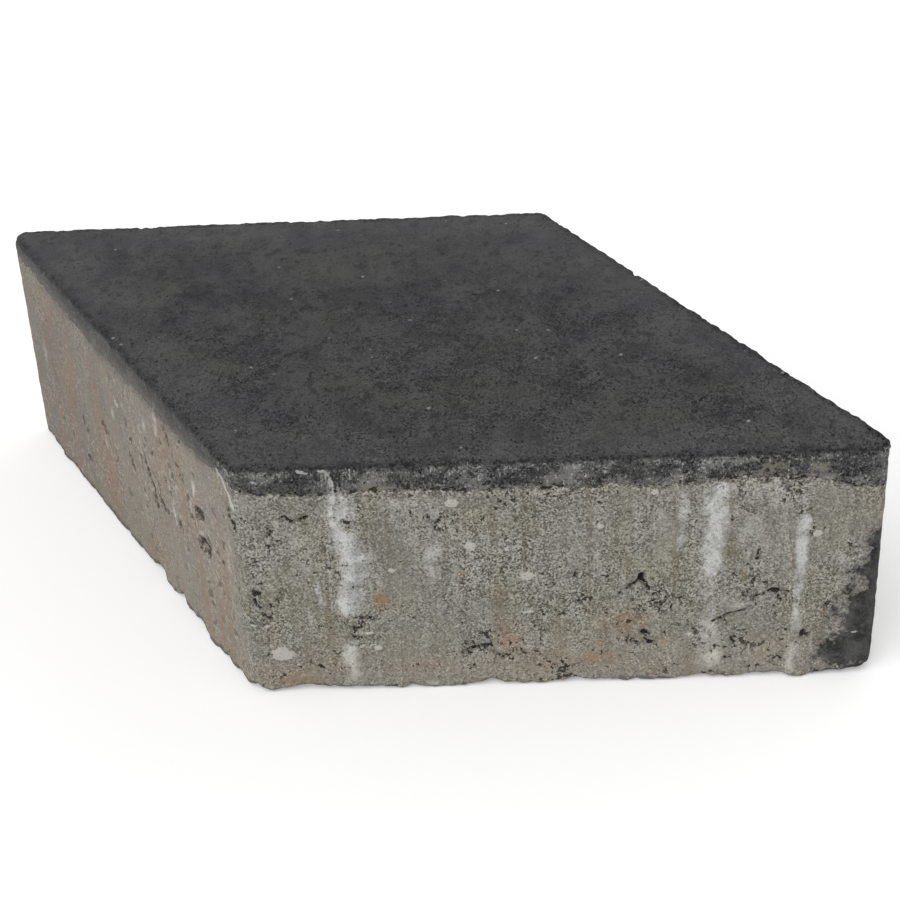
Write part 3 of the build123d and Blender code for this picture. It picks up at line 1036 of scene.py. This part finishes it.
def base_concrete():
    """Sandy grey concrete with olive and rusty patches, lime, a dark corner, pebbles, pits and hollows."""
    material, shade, place = new_material("base_concrete")
    tone = BASE_TONES
    warm, openness, lime_share, rim = (shade.mask(name) for name in ("warm", "open", "lime", "rim"))
    sand = place.noise(0.55, 2.0, 0.7)
    grains = place.grains(0.55, "Color")
    lumps = place.noise(5.0, 4.0, 0.6)
    ragged = place.noise(1.7, 3.0, 0.65)
    drag = place.noise((1.5, 1.5, 34.0), 3.0)
    slow = place.noise(24.0, 3.0)
    tint = place.noise((12.0, 12.0, 26.0), 3.0)
    paste = place.noise(11.0, 4.0, 0.6).between(0.46, 0.6)
    calm = warm.between(0.35, 0.75)
    far = place.back().between(-0.07, 0.07)
    fine = 1 - 0.5 * shade.mask("smooth") * (1 - calm)

    # Sand and grains, under olive, grey and rusty tones
    grit = ((sand - 0.5) * 1.1 + (grains - 0.5) * 0.75) * (1 - 0.2 * paste)
    grit = grit * (1 - calm * (0.42 + 0.25 * far)) * fine
    grit = grit + (lumps - 0.5) * 0.5 + (drag - 0.5) * 0.4 * (1 - 0.85 * calm)
    colour = shade.colour(grit.between(-0.42, 0.42), tone.dark_sand, tone.pale_sand)
    colour = colour.coat(tint.between(0.44, 0.6) * 0.34, tone.olive)
    dragged = place.noise((2.6, 2.6, 38.0)).between(0.56, 0.7) * (1 - calm)
    colour = colour.coat(dragged * 0.45, tone.drag_mark)
    colour = colour.coat(slow.between(0.44, 0.58) * 0.28, tone.cool_grey)
    colour = colour.coat(warm * 0.6, tone.warm_grey)
    colour = colour.coat(calm * tint.between(0.54, 0.42) * 0.55, tone.left_grey)
    colour = colour.coat(calm * (1 - far) * 0.32, tone.left_front)
    colour = colour.coat(calm * far * 0.42, tone.left_back)
    rust = shade.mask("rust") * (0.6 + lumps)
    colour = colour.coat(rust.between(0.0, 1.2) * 0.85, tone.rust)
    colour = colour.coat(rust.between(1.2, 1.5) * 0.8, tone.bright_rust)

    # Paler foot, and lime
    foot = shade.mask("foot")
    colour = colour.coat(foot.between(26.0, 4.0) * (1 - calm) * 0.32, tone.foot)
    veil = lime_share * (place.noise((1.2, 1.2, 9.0), 3.0) + lumps * 1.4 + (ragged - 0.5) * 1.8 - 0.15)
    chalk = veil.between(0.12, 1.0) * (0.8 + 0.2 * sand.between(0.36, 0.54))
    cloud = sand * 0.4 + lumps * 0.6
    pale = shade.colour(cloud.between(0.36, 0.62), tone.thin_lime, tone.thick_lime)
    pale = pale.coat(foot.between(26.0, 8.0) * 0.5, tone.foot_lime)
    colour = shade.colour(chalk * 0.97, colour, pale)

    # Dark corner
    stained = shade.mask("stain")
    stain = stained + (place.noise(9.0, 4.0, 0.6) - 0.5) * 2.5 + (ragged - 0.5) * 1.3
    near_stain = stained.between(0.0, 0.2)
    soot = shade.colour(cloud.between(0.38, 0.62), tone.soot, tone.thin_soot)
    colour = colour.coat(stain.between(0.0, 0.5) * near_stain * 0.45, tone.soot_edge)
    colour = shade.colour(stain.between(0.38, 0.66) * near_stain * 0.95, colour, soot)
    clean = 1 - stain.between(0.3, 0.7) * near_stain

    # Pebbles, bright grains and dark ones
    pebble = shade.mask("pebble").torn((ragged - 0.5) * 0.6, 0.46, 0.54, 0.3)
    colour = colour.coat(pebble * 0.9, tone.pebble)
    bright = place.flecks(0.8, (0.62, 0.74), (0.5, 0.25)) * clean
    colour = colour.coat(bright * (1 - 0.8 * chalk) * (1 - 0.4 * calm) * fine * 0.65, tone.bright_grain)
    dark = place.noise(0.62, 1.0).between(0.4, 0.3) * (1 - 0.3 * paste) * fine
    colour = colour.coat(dark * (1 - 0.75 * chalk) * (1 - 0.3 * calm) * 0.7, tone.dark_grain)

    # Pits with painted shade, crumbs, and the left side's dents, flakes and streaks
    looseness = place.noise(8.0, 3.0) * 0.34 + openness * 0.2 - paste * 0.05 + fine * 0.1 - 0.105
    gaps = place.noise(1.9, 4.0, 0.68) - looseness
    quiet = (1 - pebble) * (1 - 0.6 * chalk) * clean
    crumbs = gaps.between(0.22, 0.14) * grains.between(0.48, 0.6) * quiet
    colour = colour.coat(crumbs * 0.4 * (1 - 0.5 * calm), tone.crumb)
    # Painted shade in the pits, paler on the left side
    pits = gaps.between(0.112, 0.084) * quiet
    shadow = shade.colour(calm, tone.pit, tone.left_pit)
    colour = shade.colour(pits * 0.88, colour, shadow)
    worn = place.noise(4.4, 3.0, 0.6)
    dented = calm * openness.between(0.05, 0.45)
    lipped = worn.between(0.49, 0.45) * worn.between(0.38, 0.42) * ragged.between(0.46, 0.58)
    colour = colour.coat(lipped * dented * 0.8, tone.dent_lip)
    colour = colour.coat(worn.between(0.41, 0.35) * dented * 0.7, tone.dent)
    flaked = place.noise(2.2).between(0.59, 0.67) * dented
    colour = colour.coat(flaked * 0.7, tone.flake)
    streaked = place.noise((13.0, 13.0, 70.0))
    colour = colour.coat(streaked.between(0.52, 0.66) * calm * 0.4, tone.grey_streak)
    colour = colour.coat(streaked.between(0.48, 0.36) * calm * 0.45, tone.rusty_streak)

    # Border with the dark layer and painted shade in its gaps, pale lines, holes with painted shade, and
    # painted shade along the foot
    smear = mixed_border(place, rim, ragged, lumps, 8.0, 0.7)
    colour = colour.coat(smear * 0.72, tone.dark_smear)
    colour = colour.coat(rim.between(4.0, 0.0) * calm * 0.45, tone.left_border)
    crumbled = place.noise(1.1).between(0.55, 0.63) * rim.between(4.0, 0.4)
    colour = colour.coat(crumbled * (1 - calm) * 0.7, tone.border_crumb)
    # Painted shade in gaps along the border
    void = border_void_shade(place, rim, 7.8)
    colour = shade.colour(void * (1 - calm) * 0.8, colour, shadow)
    line = shade.mask("scratch").torn((ragged - 0.5) * 0.5, 0.44, 0.56, 0.3)
    colour = colour.coat(line * 0.8, tone.pale_line)
    holed = shade.mask("hollow")
    into = holed + (ragged - 0.5) * (0.8 + 1.4 * calm) + (sand - 0.5) * (0.4 + 0.8 * calm)
    into = into + (lumps - 0.5) * calm
    chipped = into.between(0.14, 0.36) * holed.between(0.1, 0.35) * calm * ragged.between(0.44, 0.56)
    colour = colour.coat(chipped * 0.5, tone.chip)
    # Painted shade in the holes and cracks, paler towards their edges on the left side
    hollow = into.between(0.48 - 0.04 * calm, 0.54 + 0.14 * calm) * holed.between(0.1, 0.35)
    hole = shade.colour(calm * into.between(1.1, 0.75), tone.hole, tone.left_hole)
    colour = shade.colour(hollow * 0.92, colour, hole)
    # Painted shade along the foot, reaching higher on the left side
    foot_shade = (1.0 + 1.6 * calm - foot + (lumps - 0.5) * 6.0 + (ragged - 0.5) * 6.0).between(0.0, 0.8)
    colour = colour.coat(foot_shade * 0.55, tone.worn_foot)

    # Bump and roughness
    height = sand * 0.4 + grains * 0.1 + lumps * 0.4 + worn * dented * 1.5 - pits * 0.7 - hollow * 0.6
    roughness = 0.98 - 0.1 * paste - 0.12 * pebble - 0.1 * (1 - clean) + 0.02 * pits
    finish_material(shade, colour, roughness, height, BASE_BUMP)
    return material


def face_concrete():
    """Anthracite face mix: fine dark sand with pits and pale grains, and a scuffed, limy band round it."""
    material, shade, place = new_material("face_concrete")
    tone = FACE_TONES
    drawn = place.stretched((1.0, 0.8, 1.0))
    edge, rim, soft, lime_share = (shade.mask(name) for name in ("edge", "rim", "soft", "lime"))
    sand = drawn.noise(0.55, 2.0, 0.7)
    grains = drawn.grains(0.55, "Color")
    lumps = drawn.noise(4.0, 4.0, 0.6)
    ragged = place.noise(1.7, 3.0, 0.65)
    slow = place.noise(40.0, 4.0, 0.6)
    zone = drawn.noise(14.0, 3.0).between(0.4, 0.6)
    band = edge.between(-0.2, -1.4)
    depth = place.back()
    front = depth.between(0.06, -0.07)
    still = (1 - 0.65 * soft) * (1 - shade.mask("dull"))

    # Sand under clouds, tints, dents and a paler margin, and the band's scuffs and lime
    grit = (sand - 0.5) * 1.2 + (grains - 0.5) * 0.5
    grit = grit * (0.6 + 1.05 * front + 0.15 * band) + (lumps - 0.5) * (0.35 + 0.4 * zone)
    colour = shade.colour((grit * (1 - 0.25 * soft)).between(-0.5, 0.5), tone.dark_sand, tone.pale_sand)
    colour = colour.coat(slow.between(0.46, 0.6) * (0.54 - 0.16 * front), tone.pale_cloud)
    colour = colour.coat(slow.between(0.5, 0.38) * (0.52 - 0.16 * front), tone.dark_cloud)
    tinted = place.noise(22.0, 3.0)
    colour = colour.coat(tinted.between(0.5, 0.64) * (1 - band) * 0.2, tone.blue_tint)
    colour = colour.coat(tinted.between(0.48, 0.36) * (1 - band) * 0.22, tone.brown_tint)
    mottle = place.noise((11.0, 16.0, 11.0), 3.0, 0.6)
    colour = colour.coat(mottle.between(0.5, 0.66) * (1 - band) * 0.5, tone.pale_mottle)
    colour = colour.coat(mottle.between(0.48, 0.34) * (1 - band) * 0.45, tone.dark_mottle)
    dents = place.noise((4.2, 6.0, 4.2), 3.0, 0.65).between(0.44, 0.35) * (1 - band)
    colour = colour.coat(dents * 0.6, tone.dent)
    colour = colour.coat(depth.between(0.0, 0.07) * (1 - band) * 0.2, tone.back)
    margin = edge.between(1.6, 4.0) * edge.between(24.0, 10.0)
    colour = colour.coat(margin * 0.15, tone.margin)
    scuff = place.noise((9.0, 9.0, 8.0), 5.0, 0.7)
    colour = colour.coat(scuff.between(0.46, 0.6) * band * still * 0.7, tone.pale_scuff)
    colour = colour.coat(scuff.between(0.46, 0.38) * band * still * 0.4, tone.dark_scuff)
    colour = colour.coat(soft * edge.between(-0.6, -3.0) * 0.45, tone.left_band)
    veil = lime_share * (0.5 + (place.noise((0.8, 0.8, 9.0)) - 0.5) * 3.0 + (ragged - 0.5) * 1.5)
    colour = colour.coat(veil.between(0.15, 0.9) * 0.8, tone.lime)

    # Pale grains and scrapes on the band, sparks, pits with painted shade, and painted shade and glints
    # along the arris
    bright = place.noise((0.7, 0.7, 0.9), 3.0, 0.75).between(0.55, 0.66) * band * still
    colour = colour.coat(bright * (0.35 + 0.5 * scuff.between(0.44, 0.58)), tone.bright_grain)
    scraped = place.noise((0.6, 0.6, 6.0), 2.0, 0.6).between(0.57, 0.68) * edge.between(-7.0, -2.0)
    colour = colour.coat(scraped * band * still * lumps.between(0.44, 0.58) * 0.6, tone.scrape)
    smear = shade.mask("smear") * (0.4 + lumps) + (ragged - 0.5) * 0.8
    colour = colour.coat(smear.between(0.35, 0.75) * 0.55, tone.base_smear)
    sparks = place.flecks(0.75, (0.78, 0.9), (0.45, 0.2))
    colour = colour.coat(sparks * front * (1 - band) * 0.4, tone.spark)
    # Painted shade in the pores of the walking face
    gaps = drawn.noise(1.0, 2.0, 0.6) - 0.05 * zone - 0.03 * place.noise(6.0).between(0.52, 0.64)
    pits = gaps.between(0.352, 0.298) * (1 - 0.7 * soft) * (0.5 + 0.5 * front)
    colour = colour.coat(pits * 0.85, tone.pit)
    # Painted shade along the arris
    brink = (1.6 - abs(edge + 0.9)).between(0.0, 1.4)
    colour = colour.coat(brink * 0.28, tone.brink)
    # Dark pits just behind the arris, with painted shade along them
    pits_and_shade_behind_arris = ((place.noise(1.5, 3.0) - 0.5) * 11.0 - 0.1 - abs(edge + 0.2) * 0.8).between(0.0, 0.6)
    colour = colour.coat(pits_and_shade_behind_arris * (0.35 + 0.25 * front), tone.pit)
    glints = place.noise((0.9, 0.9, 0.7), 3.0, 0.7).between(0.55, 0.64) * lumps.between(0.42, 0.58)
    colour = colour.coat(glints * (1.4 - abs(edge + 1.9)).between(0.0, 0.8) * still * 0.75, tone.glint)

    # Border with the base concrete and painted shade in its gaps, pale lines, pits with painted shade, and
    # specks
    mixed = mixed_border(place, rim, ragged, lumps, 7.0, 0.4)
    colour = colour.coat(mixed * 0.7, tone.base_mix)
    colour = colour.coat(rim.between(3.5, 0.0) * soft * 0.55, tone.left_border)
    # Painted shade in gaps along the border
    void = border_void_shade(place, rim, 7.4)
    colour = colour.coat(void * (1 - soft) * 0.8, tone.void)
    line = shade.mask("scratch").torn((ragged - 0.5) * 0.5, 0.45, 0.55, 0.3)
    colour = colour.coat(line * 0.75, tone.pale_line)
    # Painted shade in the pits strewn over the band
    hollow = shade.mask("hollow").torn((ragged - 0.5) * 0.8, 0.48, 0.54, 0.35)
    colour = colour.coat(hollow * 0.85, tone.hollow)
    specks = place.flecks(4.6, (0.74, 0.88), (0.16, 0.1))
    colour = colour.coat(specks * 0.8, tone.speck)

    # Bump and roughness
    height = sand * 0.4 + grains * 0.15 + lumps * 0.4 - pits * 0.7 - hollow * 0.6 - dents * 0.5
    roughness = 0.97 - 0.16 * zone * (1 - band) + 0.03 * pits - 0.08 * soft
    finish_material(shade, colour, roughness, height, FACE_BUMP)
    return material


def seen_rays(shade):
    """1 for rays from the camera, and for those from shiny and clear surfaces."""
    kinds = ("Is Camera Ray", "Is Glossy Ray", "Is Transmission Ray")
    camera, glossy, clear = (shade.node("ShaderNodeLightPath", output=kind) for kind in kinds)
    return shade.math("MINIMUM", camera + glossy + clear, 1.0)


def floor_and_light():
    """Pale floor, white surroundings and two soft lamps."""
    scene = bpy.context.scene
    mesh = bpy.data.meshes.new("floor")
    corners = [(x * FLOOR_HALF, y * FLOOR_HALF, 0) for x, y in ((-1, -1), (1, -1), (1, 1), (-1, 1))]
    mesh.from_pydata(corners, [], [(0, 1, 2, 3)])
    floor = bpy.data.objects.new("floor", mesh)
    scene.collection.objects.link(floor)
    material, shade, _ = new_material("floor")
    paint = shade.node("ShaderNodeBsdfDiffuse", {}, {"Color": FLOOR_GREY})
    strength = seen_rays(shade) * FLOOR_GLOW
    glow = shade.node("ShaderNodeEmission", {}, {"Color": WHITE, "Strength": strength})
    surface = shade.node("ShaderNodeAddShader", {}, {0: paint, 1: glow})
    shade.node("ShaderNodeOutputMaterial", {}, {"Surface": surface})
    mesh.materials.append(material)
    world = bpy.data.worlds.new("studio")
    world.use_nodes = True
    world.node_tree.nodes.clear()
    air = Shade(world.node_tree)
    strength = SKY + seen_rays(air) * (1 - SKY)
    light = air.node("ShaderNodeBackground", {}, {"Color": WHITE, "Strength": strength})
    air.node("ShaderNodeOutputWorld", {}, {"Surface": light})
    scene.world = world
    for name, towards, strength, spread in LAMPS:
        lamp = bpy.data.lights.new(name, "SUN")
        lamp.energy, lamp.angle = strength * pi, radians(spread)
        lamp_object = bpy.data.objects.new(name, lamp)
        lamp_object.rotation_euler = Vector(towards).to_track_quat("Z", "Y").to_euler()
        scene.collection.objects.link(lamp_object)
    scene.view_settings.view_transform = "Standard"


def photo_camera():
    """Camera at the photograph's place, dip, turn and roll."""
    flat = cos(CAMERA_DIP)
    forward = Vector((sin(CAMERA_AZIMUTH) * flat, cos(CAMERA_AZIMUTH) * flat, -sin(CAMERA_DIP)))
    level = forward.cross(Vector((0, 0, 1))).normalized()
    down = forward.cross(level)
    across = cos(CAMERA_ROLL) * level + sin(CAMERA_ROLL) * down
    up = sin(CAMERA_ROLL) * level - cos(CAMERA_ROLL) * down
    data = bpy.data.cameras.new("camera")
    data.sensor_width = CAMERA_FILM
    data.lens = data.sensor_width * CAMERA_FOCAL_SHARE
    data.clip_start = CAMERA_NEAR
    camera = bpy.data.objects.new("camera", data)
    turn = Matrix((across, up, -forward)).transposed().to_4x4()
    camera.matrix_world = Matrix.Translation(Vector(CAMERA_PLACE) * MM) @ turn
    bpy.context.scene.collection.objects.link(camera)
    bpy.context.scene.camera = camera


for name, skin, material, node, slot in (
    ("base_block_skin", base_skin(), base_concrete(), "base_block", "base_concrete"),
    ("face_layer_skin", face_skin(), face_concrete(), "face_layer", "face_concrete"),
):
    piece = skin.build(name, material)
    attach(piece, "root")
    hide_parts(node)
floor_and_light()
photo_camera()
